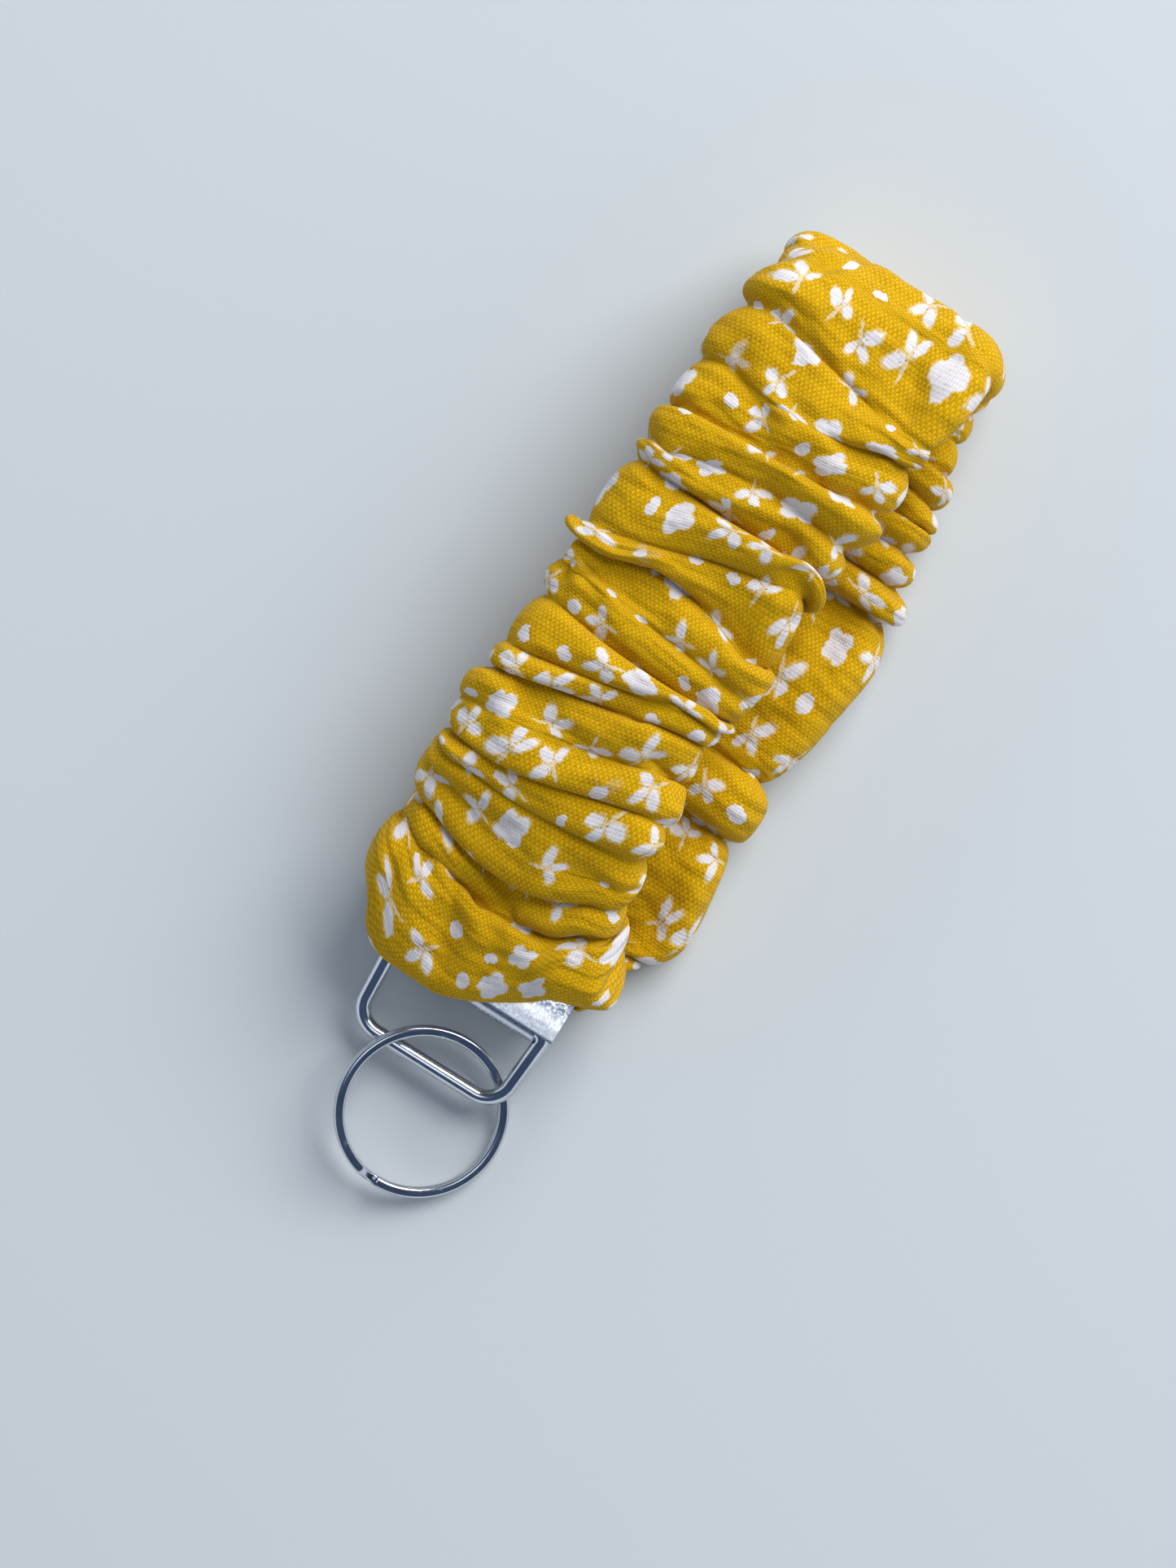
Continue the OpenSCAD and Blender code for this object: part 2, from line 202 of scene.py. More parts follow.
def crease_lines(path, rng):
    """Where each crease crosses each column of the grid, and how deep it is there."""
    v = np.clip(PLACE + 0.15 * OUT[:, 0], -1, 1)  # across the strap, -1 to 1
    inner = np.clip(-OUT[:, 1], 0, 1)  # 1 on the wrist side

    def wander(size):
        t = np.arange(ROUND) / ROUND * 2 * math.pi
        return sum(
            size / k * np.sin(k * t + rng.uniform(0, FULL_TURN)) * rng.uniform(0.5, 1)
            for k in (1, 2, 3)
        )

    def line(x, x_plus, x_minus):
        return x + (x_plus - x_minus) / 2 * v + ((x_plus + x_minus) / 2 - x) * v * v

    lines, depths = [np.zeros(ROUND)], [np.ones(ROUND)]
    for x, xp, xm, depth in LOW_CREASES:
        lines.append(path.find(line(x, xp, xm), False) + wander(WANDER_LOW))
        depths.append(depth + 0.0 * v)
    for angle, depth in TURN_CREASES:
        at = path.turn_start + (path.turn_end - path.turn_start) * (angle + 90) / 180
        lines.append(at + wander(WANDER_TURN))
        depths.append(depth + 0.0 * v)
    for x, xp, xm, depth in reversed(TOP_CREASES):
        lines.append(path.find(line(x, xp, xm), True) + wander(WANDER_TOP) * (0.4 + inner))
        depths.append(depth + 0.0 * v)
    lines.append(np.full(ROUND, path.length))
    depths.append(np.ones(ROUND))
    depths = [
        d if d[0] == 1 else np.clip(d + wander(WANDER_DEPTH) * (d > 0.2), 0.1, 1) for d in depths
    ]
    lines = np.array(lines)
    for k in range(1, len(lines) - 1):
        lines[k] = np.maximum(lines[k], lines[k - 1] + CREASE_GAP)
    for k in range(len(lines) - 2, 0, -1):
        lines[k] = np.minimum(lines[k], lines[k + 1] - CREASE_GAP)
    return lines, np.array(depths)


def hem_profile(reach, t, join_x, join_z):
    """Puff at the upper hem, from the clamp's mouth back over its plate and up to the first
    crease, as X and Z over the share t of its length."""
    pts = np.array(
        [(MOUTH_X - share * reach, z) for share, z in HEM_PUFF]
        + [(join_x - 1.6, 22.6), (join_x - 0.4, 21.2), (join_x, join_z)])
    d = np.concatenate([[0], np.cumsum(np.hypot(*np.diff(pts, axis=0).T))])
    fine = np.linspace(0, d[-1], 60)
    x, z = np.interp(fine, d, pts[:, 0]), np.interp(fine, d, pts[:, 1])
    for _ in range(6):
        x[1:-1] = (x[:-2] + 2 * x[1:-1] + x[2:]) / 4
        z[1:-1] = (z[:-2] + 2 * z[1:-1] + z[2:]) / 4
    return np.interp(t, fine / d[-1], x), np.interp(t, fine / d[-1], z)


def sleeve_start():
    """Gathered start shape of the sleeve: rows of points, and each row's place on the flat
    cloth, column by column."""
    rng = random.Random(7)
    path = Path()
    lines, depths = crease_lines(path, rng)
    rows, flat, hold = [], [], []
    ripple = ripples(rng)
    u = np.zeros(ROUND)
    cells = len(lines) - 1
    for k in range(cells):
        s0, s1 = lines[k], lines[k + 1]
        w = s1 - s0
        mean_w = w.mean()
        height = min(max(FOLD_BASE + FOLD_SLOPE * mean_w, FOLD_LEAST), FOLD_MOST)
        height = height * rng.uniform(0.85, 1.1)
        deep = (depths[k].mean() + depths[k + 1].mean()) / 2
        length = fold_length(mean_w, height, deep)
        hem = 1 if k == cells - 1 else -1 if k == 0 else 0
        if lines[k].mean() > path.turn_start - 3 and lines[k + 1].mean() < path.turn_end + 3:
            length = length * TURN_OUTSIDE
        if hem == 1:
            length = TOP_HEM_LENGTH
        if hem == -1:
            length = LOW_HEM_LENGTH
        tall = fold_heights(w, length, height, deep)
        lean = rng.uniform(-FOLD_LEAN, FOLD_LEAN) + 0.15 * np.sin(
            np.arange(ROUND) / ROUND * 2 * math.pi + rng.uniform(0, FULL_TURN)
        )
        count = max(4, round(length / GRID))
        for i in range(count + (1 if k == cells - 1 else 0)):
            t = i / count
            along = s0 + w * (1 - math.cos(math.pi * t)) / 2
            depth = depths[k] * (1 - t) + depths[k + 1] * t
            lift = tall * ((1 - depth) + depth * math.sin(math.pi * t) ** FULLNESS)
            lift = lift * (1 + ripple(u + length * t))
            along = along + lean * lift * math.sin(math.pi * t) * np.clip(w / 6, 0.3, 1)
            if hem == 1 and i == 0:
                first = place_row(path, along, lift, t, 0, None)
            rows.append(place_row(path, along, lift, t, hem, first if hem == 1 else None))
            flat.append(u + length * t)
            turning = (along > path.turn_start) & (along < path.turn_end)
            grip = np.maximum(CREASE_HOLD * depth, TURN_HOLD * turning)
            hold.append(grip if i == 0 else np.where(turning, TURN_HOLD / 3, 0.0))
        u = u + length
    rows, flat, hold = np.array(rows), np.array(flat) * SPARE, np.array(hold)
    hold[:2] = hold[-2:] = 1.0
    return rows, flat, hold


def ripples(rng):
    """Small uneven swellings over the flat cloth, as a share of each fold's height."""
    waves = [
        (rng.uniform(0.12, 0.5), rng.randint(1, 5), rng.uniform(0, FULL_TURN)) for _ in range(9)
    ]
    turn = np.arange(ROUND) / ROUND * 2 * math.pi
    return lambda u: sum(0.055 * np.sin(a * u + b * turn + c) for a, b, c in waves)


def fold_length(width, height, deep):
    """Length of cloth in a fold between two creases of that depth."""
    a = np.linspace(0, math.pi, 41)
    along = width * (1 - np.cos(a)) / 2
    lift = height * ((1 - deep) + deep * np.abs(np.sin(a)) ** FULLNESS)
    return float(np.hypot(np.diff(along), np.diff(lift)).sum())


def fold_heights(w, length, height, deep):
    """Height of a fold of that length of cloth, column by column. Between deep creases it stands
    as tall as its width there allows, and between shallow ones it has one height."""
    tall = np.sqrt(np.maximum(2 * (length / math.pi) ** 2 - (w / 2) ** 2, TALL_LEAST**2))
    tall = np.minimum(tall, np.minimum(TALL_BASE + TALL_SLOPE * w, TALL_MOST))
    even = min(max((deep - 0.3) / 0.4, 0), 1)
    return tall * even + height * (1 - even)


def place_row(path, along, lift, t, hem, join):
    """Points of one row of the grid, from their place along the band and lift off it. hem is 1
    over the clamp, -1 under it and 0 elsewhere; join is the row where the upper hem begins."""
    along = np.clip(along, 0, path.length)
    x, z, y, nx, nz, room, heap, half_w = path.at(along)
    end = np.minimum(along, path.length - along)
    open_up = np.clip(end / OPENS_OVER, 0, 1) ** 0.8
    half_w = CLAMPED_W + (half_w - CLAMPED_W) * open_up
    half_h = CLAMPED_H + (BASE_H - CLAMPED_H) * open_up
    lift = lift * np.clip(0.15 + end / FOLDS_GROW_OVER, 0, 1)
    turn = np.clip((x - FOLD_X) / TURN_EASE, 0, 1)
    side_lift = lift * (1 - turn) + np.minimum(lift, TURN_SIDE_LIFT) * turn
    lift = lift * (1 - turn) + np.minimum(lift, TURN_LIFT) * turn
    across = PLACE * (half_w - half_h) + OUT[:, 0] * (half_h + side_lift)
    out = OUT[:, 1] * (half_h + lift) + np.clip(OUT[:, 1], 0, 1) * heap
    out = np.where(out < -room, -room - SQUEEZE * (-room - out), out)
    px, py, pz = x + nx * out, y + across, z + nz * out
    if hem == 1:
        reach = np.interp(py, HEM_REACH_Y, HEM_REACH)
        hx, hz = np.array([hem_profile(r, 1 - t, *j) for r, j in zip(reach, join[:, [0, 2]])]).T
        upper = smooth_step(np.clip((OUT[:, 1] + 0.75) / 1.35, 0, 1))
        px = px * (1 - upper) + hx * upper
        low = np.clip(OUT[:, 1], 0, 1) ** 0.5
        pz = pz * (1 - upper) + (hz * low + (pz * 0.4 + hz * 0.6) * (1 - low)) * upper
        swell = np.where(PLACE > 0, HEM_SWELL_PLUS, HEM_SWELL_MINUS)
        py = py + swell * np.abs(PLACE) ** 3 * math.sin(math.pi * t)
    if hem == -1:
        px = px - LOW_HEM_REACH * math.sin(math.pi * t) * np.clip(OUT[:, 1] + 0.6, 0, 1)
        under = (np.abs(py) < UNDER_CLAMP_Y) & (px < MOUTH_X)
        pz = np.where(under, np.minimum(pz, UNDER_CLAMP_Z), pz)
    pz = np.maximum(pz, TABLE_GAP)
    return np.stack([px, py, pz], 1)


def tube_faces(count, around):
    """Faces between that many rings of points."""
    return [
        (i * around + j, i * around + (j + 1) % around,
         (i + 1) * around + (j + 1) % around, (i + 1) * around + j)
        for i in range(count - 1) for j in range(around)
    ]


def mesh_from_rows(name, rows):
    """Tube mesh through rows of points, open at both ends."""
    count, around, _ = rows.shape
    mesh = bpy.data.meshes.new(name)
    mesh.from_pydata((rows.reshape(-1, 3) * MM + ORIGIN).tolist(), [], tube_faces(count, around))
    mesh.validate()
    return mesh


def add_object(name, data):
    """New object in the scene."""
    ob = bpy.data.objects.new(name, data)
    bpy.context.scene.collection.objects.link(ob)
    return ob


CLOTH_THICK = 0.3  # mm
SEAM_DEPTH = 0.5  # mm from the middle of the cloth in to the thread
SEAM = ROUND * 3 // 4  # column of the long seam, in the middle of the wrist side


def add_cloth_uv(mesh, flat):
    """UV map in mm on the flat cloth: round the tube from the seam, and along it."""
    count = flat.shape[0]
    layer = mesh.uv_layers.new(name="cloth")
    uv = np.empty((count - 1, ROUND, 4, 2))
    j = np.arange(ROUND)
    left = ((j - SEAM) % ROUND) / ROUND * GIRTH
    right = left + GIRTH / ROUND
    uv[:, :, 0, 0] = uv[:, :, 3, 0] = left
    uv[:, :, 1, 0] = uv[:, :, 2, 0] = right
    uv[:, :, 0, 1], uv[:, :, 1, 1] = flat[:-1], np.roll(flat[:-1], -1, 1)
    uv[:, :, 3, 1], uv[:, :, 2, 1] = flat[1:], np.roll(flat[1:], -1, 1)
    layer.data.foreach_set("uv", uv.reshape(-1).astype(np.float32))


SIM = 100.0  # the cloth is simulated this many times larger, in the row frame
FRAMES = 30
CLAMP_SPACE = (-1.9, -13.7, 5.12), (9.4, 13.7, 8.88)  # mm from the hinge, low and high corner
TABLE_SPACE = (-0.2, -0.1, -0.02), (0.2, 0.1, 0.0)  # metres


def collider(name, verts, faces):
    """Obstacle for the simulation; its points are in metres."""
    mesh = bpy.data.meshes.new(name)
    mesh.from_pydata([tuple(SIM * c for c in v) for v in verts], [], faces)
    ob = add_object(name, mesh)
    ob.modifiers.new("Collision", "COLLISION")
    ob.collision.thickness_outer = 0.02
    ob.collision.thickness_inner = 0.05
    ob.collision.cloth_friction = 5.0
    return ob


def box_collider(name, low, high):
    """Box as an obstacle, between two corners."""
    (x0, y0, z0), (x1, y1, z1) = low, high
    verts = [(x, y, z) for x in (x0, x1) for y in (y0, y1) for z in (z0, z1)]
    faces = [(0, 1, 3, 2), (4, 6, 7, 5), (0, 4, 5, 1), (2, 3, 7, 6), (0, 2, 6, 4), (1, 5, 7, 3)]
    return collider(name, verts, faces)


def add_cloth(ob, rest):
    """Cloth modifier for light cotton, held by the vertex group named held."""
    cloth = ob.modifiers.new("Cloth", "CLOTH")
    c = cloth.settings
    c.quality = 6
    c.mass = 0.2
    c.air_damping = 3.0
    c.tension_stiffness = 20
    c.compression_stiffness = 20
    c.shear_stiffness = 4
    c.bending_stiffness = 0.4
    c.tension_damping = c.compression_damping = c.shear_damping = 8
    c.bending_damping = 0.6
    c.vertex_group_mass = "held"
    c.pin_stiffness = 1.0
    c.rest_shape_key = rest
    c.effector_weights.gravity = 0.06
    k = cloth.collision_settings
    k.collision_quality = 3
    k.distance_min = 0.02
    k.use_self_collision = True
    k.self_distance_min = 0.03
    k.self_friction = 5
    cloth.point_cache.frame_start = 1
    cloth.point_cache.frame_end = FRAMES


def relax(rows, flat, hold):
    """Lets the gathered cloth settle by simulation and gives its rows back."""
    count, around, _ = rows.shape
    mesh = mesh_from_rows("sleeve_start", rows)
    mesh.transform(Matrix.Scale(SIM, 4))
    ob = add_object("sleeve_start", mesh)
    ob.shape_key_add(name="gathered")
    rest = ob.shape_key_add(name="flat")
    angle = np.arange(around) / around * 2 * math.pi
    r = GIRTH / 2 / math.pi
    flat_pts = np.stack([
        flat, np.broadcast_to(r * np.cos(angle), flat.shape),
        np.broadcast_to(r * np.sin(angle), flat.shape)], 2) * MM * SIM
    rest.data.foreach_set("co", flat_pts.reshape(-1).astype(np.float32))
    rest.value = 0.0
    pins = ob.vertex_groups.new(name="held")
    for i in range(count):
        for j in range(around):
            if hold[i, j] > 0:
                pins.add([i * around + j], float(hold[i, j]), "REPLACE")
    add_cloth(ob, rest)
    band = frame["nodes"]["elastic_band"].data
    helpers = [
        collider("band_space", [v.co for v in band.vertices],
                 [tuple(p.vertices) for p in band.polygons]),
        box_collider("clamp_space", *(ORIGIN + np.array(c) * MM for c in CLAMP_SPACE)),
        box_collider("table_space", *TABLE_SPACE),
    ]
    scene = bpy.context.scene
    for f in range(1, FRAMES + 1):
        scene.frame_set(f)
    dg = bpy.context.evaluated_depsgraph_get()
    done = ob.evaluated_get(dg).data
    co = np.empty(len(done.vertices) * 3, np.float32)
    done.vertices.foreach_get("co", co)
    out = (co.reshape(count, around, 3).astype(float) / SIM - ORIGIN) / MM
    scene.frame_set(1)
    for h in helpers + [ob]:
        data = h.data
        bpy.data.objects.remove(h)
        bpy.data.meshes.remove(data)
    return out


def make_sleeve():
    """The sleeve of printed cotton, and the thread of its long seam."""
    rows, flat, hold = sleeve_start()
    rows = relax(rows, flat, hold)
    mesh = mesh_from_rows("sleeve", rows)
    ob = add_object("sleeve", mesh)
    add_cloth_uv(mesh, flat)
    for p in mesh.polygons:
        p.use_smooth = True
    sub = ob.modifiers.new("Finer", "SUBSURF")
    sub.levels = sub.render_levels = 1
    thick = ob.modifiers.new("Thickness", "SOLIDIFY")
    thick.thickness = CLOTH_THICK * MM
    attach(ob, "strap")
    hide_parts("fabric_sleeve")
    inward = rows.mean(1) - rows[:, SEAM]
    inward /= np.linalg.norm(inward, axis=1, keepdims=True)
    seam = make_seam((rows[:, SEAM] + inward * SEAM_DEPTH) * MM + ORIGIN)
    return ob, seam


# ---------------------------------------------------------------- material helpers
class Val:
    """A number in a node tree, so that a pattern is written as arithmetic."""

    def __init__(self, tree, socket):
        self.tree, self.socket = tree, socket

    def op(self, name, *others):
        node = self.tree.nodes.new("ShaderNodeMath")
        node.operation = name
        for i, v in enumerate((self, *others)):
            if isinstance(v, Val):
                self.tree.links.new(v.socket, node.inputs[i])
            else:
                node.inputs[i].default_value = v
        return Val(self.tree, node.outputs[0])

    def __add__(self, o):
        return self.op("ADD", o)

    def __sub__(self, o):
        return self.op("SUBTRACT", o)

    def __rsub__(self, o):
        return (self * -1.0).op("ADD", o)

    def __mul__(self, o):
        return self.op("MULTIPLY", o)

    def __truediv__(self, o):
        return self.op("DIVIDE", o)

    __radd__, __rmul__ = __add__, __mul__

    def step(self, low, high):
        """0 below low, 1 above high, smooth in between; low may be the larger."""
        node = self.tree.nodes.new("ShaderNodeMapRange")
        node.interpolation_type = "SMOOTHSTEP"
        flip = low > high
        node.inputs["From Min"].default_value = min(low, high)
        node.inputs["From Max"].default_value = max(low, high)
        node.inputs["To Min"].default_value = 1.0 if flip else 0.0
        node.inputs["To Max"].default_value = 0.0 if flip else 1.0
        self.tree.links.new(self.socket, node.inputs["Value"])
        return Val(self.tree, node.outputs["Result"])


class Paint:
    """A new material and short ways to add nodes to it."""

    def __init__(self, name, rough, metal=0.0):
        self.mat = bpy.data.materials.new(name)
        self.mat.use_nodes = True
        self.tree = self.mat.node_tree
        self.shader = self.tree.nodes["Principled BSDF"]
        self.shader.inputs["Roughness"].default_value = rough
        self.shader.inputs["Metallic"].default_value = metal

    def node(self, kind, **settings):
        node = self.tree.nodes.new("ShaderNode" + kind)
        for key, value in settings.items():
            if key in node.inputs:
                node.inputs[key].default_value = value
            else:
                setattr(node, key, value)
        return node

    def link(self, a, b):
        self.tree.links.new(a.socket if isinstance(a, Val) else a, b)

    def split(self, vector):
        node = self.node("SeparateXYZ")
        self.link(vector, node.inputs[0])
        return [Val(self.tree, node.outputs[i]) for i in range(3)]

    def join(self, x, y, z=0.0):
        node = self.node("CombineXYZ")
        for i, v in enumerate((x, y, z)):
            if isinstance(v, Val):
                self.link(v, node.inputs[i])
            else:
                node.inputs[i].default_value = v
        return node.outputs[0]

    def noise(self, vector, scale, detail=2.0, rough=0.5):
        node = self.node("TexNoise", Scale=scale, Detail=detail, Roughness=rough)
        self.link(vector, node.inputs["Vector"])
        return Val(self.tree, node.outputs["Fac"])

    def blend(self, share, first, second):
        """Colour between two, each a colour or a socket."""
        node = self.node("Mix", data_type="RGBA")
        self.link(share, node.inputs["Factor"])
        for value, socket in ((first, node.inputs[6]), (second, node.inputs[7])):
            if isinstance(value, tuple):
                socket.default_value = (*value, 1)
            else:
                self.link(value, socket)
        return node.outputs[2]

    def bump(self, height, distance, strength=1.0, under=None):
        node = self.node("Bump", Strength=strength, Distance=distance)
        self.link(height, node.inputs["Height"])
        if under is not None:
            self.link(under, node.inputs["Normal"])
        return node.outputs["Normal"]

    def finish(self, colour=None, rough=None, normal=None):
        for value, name in ((colour, "Base Color"), (rough, "Roughness"), (normal, "Normal")):
            if value is not None:
                self.link(value, self.shader.inputs[name])
        return self.mat


# ---------------------------------------------------------------- printed cotton
MUSTARD = (0.69, 0.418, 0.001)
# deeper mustard: painted shade in the gaps between threads, and the darker yarns
MUSTARD_SHADE_AND_DARK_YARN = (0.45, 0.215, 0.0)
BLOSSOM = (0.73, 0.70, 0.73)
CREAM = (0.80, 0.66, 0.40)
STEM = (0.72, 0.58, 0.38)
SPECK = (0.22, 0.12, 0.05)
MOTIF_GAP = 6.9  # mm between motifs
MOTIF_SLANT = 0.5  # each row of motifs is set over by this share of its distance
MOTIF_ROWS = 0.93  # distance between motifs over distance between rows
MOTIF_SCATTER = 0.42
MOTIF_LEAN = 0.7
# Petals of each kind of motif: direction in radians, reach, half length and half width in mm.
BLOSSOM_PETALS = [(0.0, 1.25, 1.35, 1.25)] + [
    (k * math.pi / 2 + 0.12, 1.25, 1.4, 1.2) for k in (1, 2, 3)]
SPRIG_LEAVES = [(1.5, 1.95, 1.35, 0.72), (0.1, 1.8, 1.4, 0.84), (2.7, 1.75, 1.25, 0.66)]
SPRIG_STALK = [(-1.3, 0.9, 1.9, 0.3)]
BUD_PETALS = [(0.4, 0.0, 1.35, 1.05)]
HEART_PETALS = [(0.6, 0.55, 0.85, 0.8), (2.5, 0.55, 0.85, 0.8)]
WARP, WEFT = 0.40, 0.43  # mm between threads
THREAD_ROUND = 0.6  # power of a thread's profile; below 1 the gaps are narrow


def weave(p, x, y):
    """Plain weave over x and y in mm: height of the threads, share of warp on top, and a tone
    that changes from crossing to crossing."""
    wx, wy = x / WARP, y / WEFT
    over = (wx.op("FLOOR") + wy.op("FLOOR")) * 0.5
    over = over.op("FRACT") * 2.0  # 0 or 1, as on a chequer board
    round_x = (wx.op("FRACT") * math.pi).op("SINE").op("POWER", THREAD_ROUND)
    round_y = (wy.op("FRACT") * math.pi).op("SINE").op("POWER", THREAD_ROUND)
    warp = round_x * (0.45 + round_y * 0.55)
    weft = round_y * (0.45 + round_x * 0.55)
    speckle = p.node("TexWhiteNoise", noise_dimensions="2D")
    p.link(p.join(wx.op("FLOOR"), wy.op("FLOOR")), speckle.inputs["Vector"])
    return warp * over + weft * (1.0 - over), over, Val(p.tree, speckle.outputs["Value"])


def petal(px, py, angle, reach, length, width):
    """Signed size of an ellipse whose middle lies at reach in a direction; below 1 is inside."""
    c, s = math.cos(angle), math.sin(angle)
    along = px * c + py * s - reach
    side = py * c - px * s
    return ((along / length).op("POWER", 2.0) + (side / width).op("POWER", 2.0)).op("SQRT")


def flower(px, py, petals):
    """Signed size of some petals together; below 1 is inside one of them."""
    joined, *others = [petal(px, py, *shape) for shape in petals]
    for other in others:
        joined = joined.op("MINIMUM", other)
    return joined


def motif_cells(p, x, y):
    """Loose staggered grid of motifs, each with its own turn and size: place in mm within the nearest
    motif, scaled by its random size, and its random kind."""
    gx, gy = (x + y * MOTIF_SLANT) / MOTIF_GAP, y * MOTIF_ROWS / MOTIF_GAP
    cells = p.node("TexVoronoi", voronoi_dimensions="2D", Scale=1.0, Randomness=MOTIF_SCATTER)
    p.link(p.join(gx, gy), cells.inputs["Vector"])
    cx, cy, _ = p.split(cells.outputs["Position"])
    dx, dy = gx - cx, gy - cy
    my = dy * (MOTIF_GAP / MOTIF_ROWS)
    mx = dx * MOTIF_GAP - my * MOTIF_SLANT
    kind, turn, size = p.split(cells.outputs["Color"])
    a = turn * (2 * math.pi)
    c, s = a.op("COSINE"), a.op("SINE")
    scale = 0.84 + size * 0.24
    px, py = (mx * c + my * s) / scale, (my * c - mx * s) / scale
    px = px + py * (size - 0.5) * MOTIF_LEAN
    return px, py, kind


def print_masks(p, x, y, ragged, ragged_2):
    """Shares of white petals, of the cream halo round them, of stems and of dark specks."""
    px, py, kind = motif_cells(p, x + (ragged - 0.5) * 0.9, y + (ragged_2 - 0.5) * 0.9)
    lobes = flower(px, py, BLOSSOM_PETALS)
    leaves = flower(px, py, SPRIG_LEAVES)
    blossom = lobes.step(1.06, 0.94)
    sprig = leaves.step(1.08, 0.92)
    bud = flower(px, py, BUD_PETALS).step(1.08, 0.92)
    heart = flower(px, py, HEART_PETALS).step(1.08, 0.92)
    is_blossom = kind.step(0.18, 0.17)
    is_sprig = kind.step(0.17, 0.18) * kind.step(0.77, 0.76)
    is_bud = kind.step(0.76, 0.77) * kind.step(0.90, 0.89)
    is_heart = kind.step(0.89, 0.90)
    white = blossom * is_blossom + sprig * is_sprig + bud * is_bud + heart * is_heart
    halo = leaves.step(1.5, 1.1) * is_sprig + lobes.step(1.25, 1.05) * is_blossom
    stems = flower(px, py, SPRIG_STALK).step(1.15, 0.75) * is_sprig
    near = (px * px + py * py).op("SQRT").step(1.5, 0.9)
    specks = p.noise(p.join(x, y + 57.0), 2.6, 1.0).step(0.63, 0.68) * near
    return white, halo, stems, specks * (is_sprig + is_blossom * 0.35)


def printed_cotton():
    """Plain-woven cotton with a print of small flowers, painted over the flat cloth in mm."""
    p = Paint("printed_cotton", 0.82)
    uv = p.node("UVMap", uv_map="cloth")
    x, y, _ = p.split(uv.outputs["UV"])
    ragged = p.noise(p.join(x, y), 1.6, 3.0)
    ragged_2 = p.noise(p.join(x + 31.0, y), 1.6, 3.0)
    white, halo, stems, specks = print_masks(p, x, y, ragged, ragged_2)

    threads, warp_up, crossing = weave(p, x + (ragged - 0.5) * 0.05, y + (ragged_2 - 0.5) * 0.05)
    warp_tone = p.noise(p.join(x * 3.0, y * 0.12), 1.0, 1.0)
    weft_tone = p.noise(p.join(x * 0.12, y * 3.0), 1.0, 1.0)
    tone = warp_tone * warp_up + weft_tone * (1.0 - warp_up)
    # warp_up * 0.60 makes warp-over crossings lighter, a painted highlight; the noise and crossing terms are real
    # yarn tone
    tone = (tone - 0.5) * 1.2 + crossing * 0.30 + warp_up * 0.60 + 0.22
    # the ground goes to deeper mustard where threads sink (painted shade in the gaps) and where the yarn tone is
    # low
    ground = p.blend(threads.step(-0.25, 0.9) * tone, MUSTARD_SHADE_AND_DARK_YARN, MUSTARD)
    colour = p.blend((halo * 0.5).op("MINIMUM", 1.0), ground, CREAM)
    colour = p.blend(stems * 0.85, colour, STEM)
    colour = p.blend(white * (0.80 + threads * 0.2), colour, BLOSSOM)
    colour = p.blend(specks * 0.8, colour, SPECK)
    # painted shade: the colour is darkened further in the gaps between threads
    shade = p.blend(threads.step(0.0, 0.6), (0.84, 0.82, 0.78), (1.0, 1.0, 1.0))
    dark = p.node("Mix", data_type="RGBA", blend_type="MULTIPLY")
    dark.inputs["Factor"].default_value = 1.0
    p.link(colour, dark.inputs[6])
    p.link(shade, dark.inputs[7])

    p.shader.inputs["Sheen Weight"].default_value = 0.05
    p.shader.inputs["Sheen Roughness"].default_value = 0.5
    p.shader.inputs["Specular IOR Level"].default_value = 0.12
    gathers = p.noise(p.join(x * 0.13, y * 0.42), 1.0, 1.0, 0.35)
    crinkle = p.noise(p.join(x, y), 0.9, 4.0)
    normal = p.bump(gathers, 2.4 * MM, 0.6)
    normal = p.bump(crinkle, 0.35 * MM, 0.5, normal)
    normal = p.bump(threads, 0.07 * MM, 0.7, normal)
    return p.finish(dark.outputs[2], 0.78 + threads * 0.12, normal)


# ---------------------------------------------------------------- metal, elastic and thread
ROLL_X = HINGE["pos_m"][0]  # axis of the clamp's roll
ROLL_HIGHLIGHT = 2.2 * MM, 4.4 * MM  # painted highlight: the plate is bright up to here along its roll, and from there mottled with painted dark reflections


def chrome(name, tint):
    """Plated wire: faint haze, a few rubbed spots and fine pits."""
    p = Paint(name, 0.12, 1.0)
    where = p.node("TexCoord").outputs["Object"]
    haze = p.noise(where, 260.0, 3.0)
    rubbed = p.noise(where, 900.0, 4.0).step(0.58, 0.72)
    colour = p.blend(haze.step(0.3, 0.7), tint, tuple(min(1.0, c * 1.18) for c in tint))
    rough = 0.10 + haze * 0.10 + rubbed * 0.12
    pits = p.noise(where, 2600.0, 2.0)
    return p.finish(colour, rough, p.bump(pits, 0.004 * MM, 0.25))


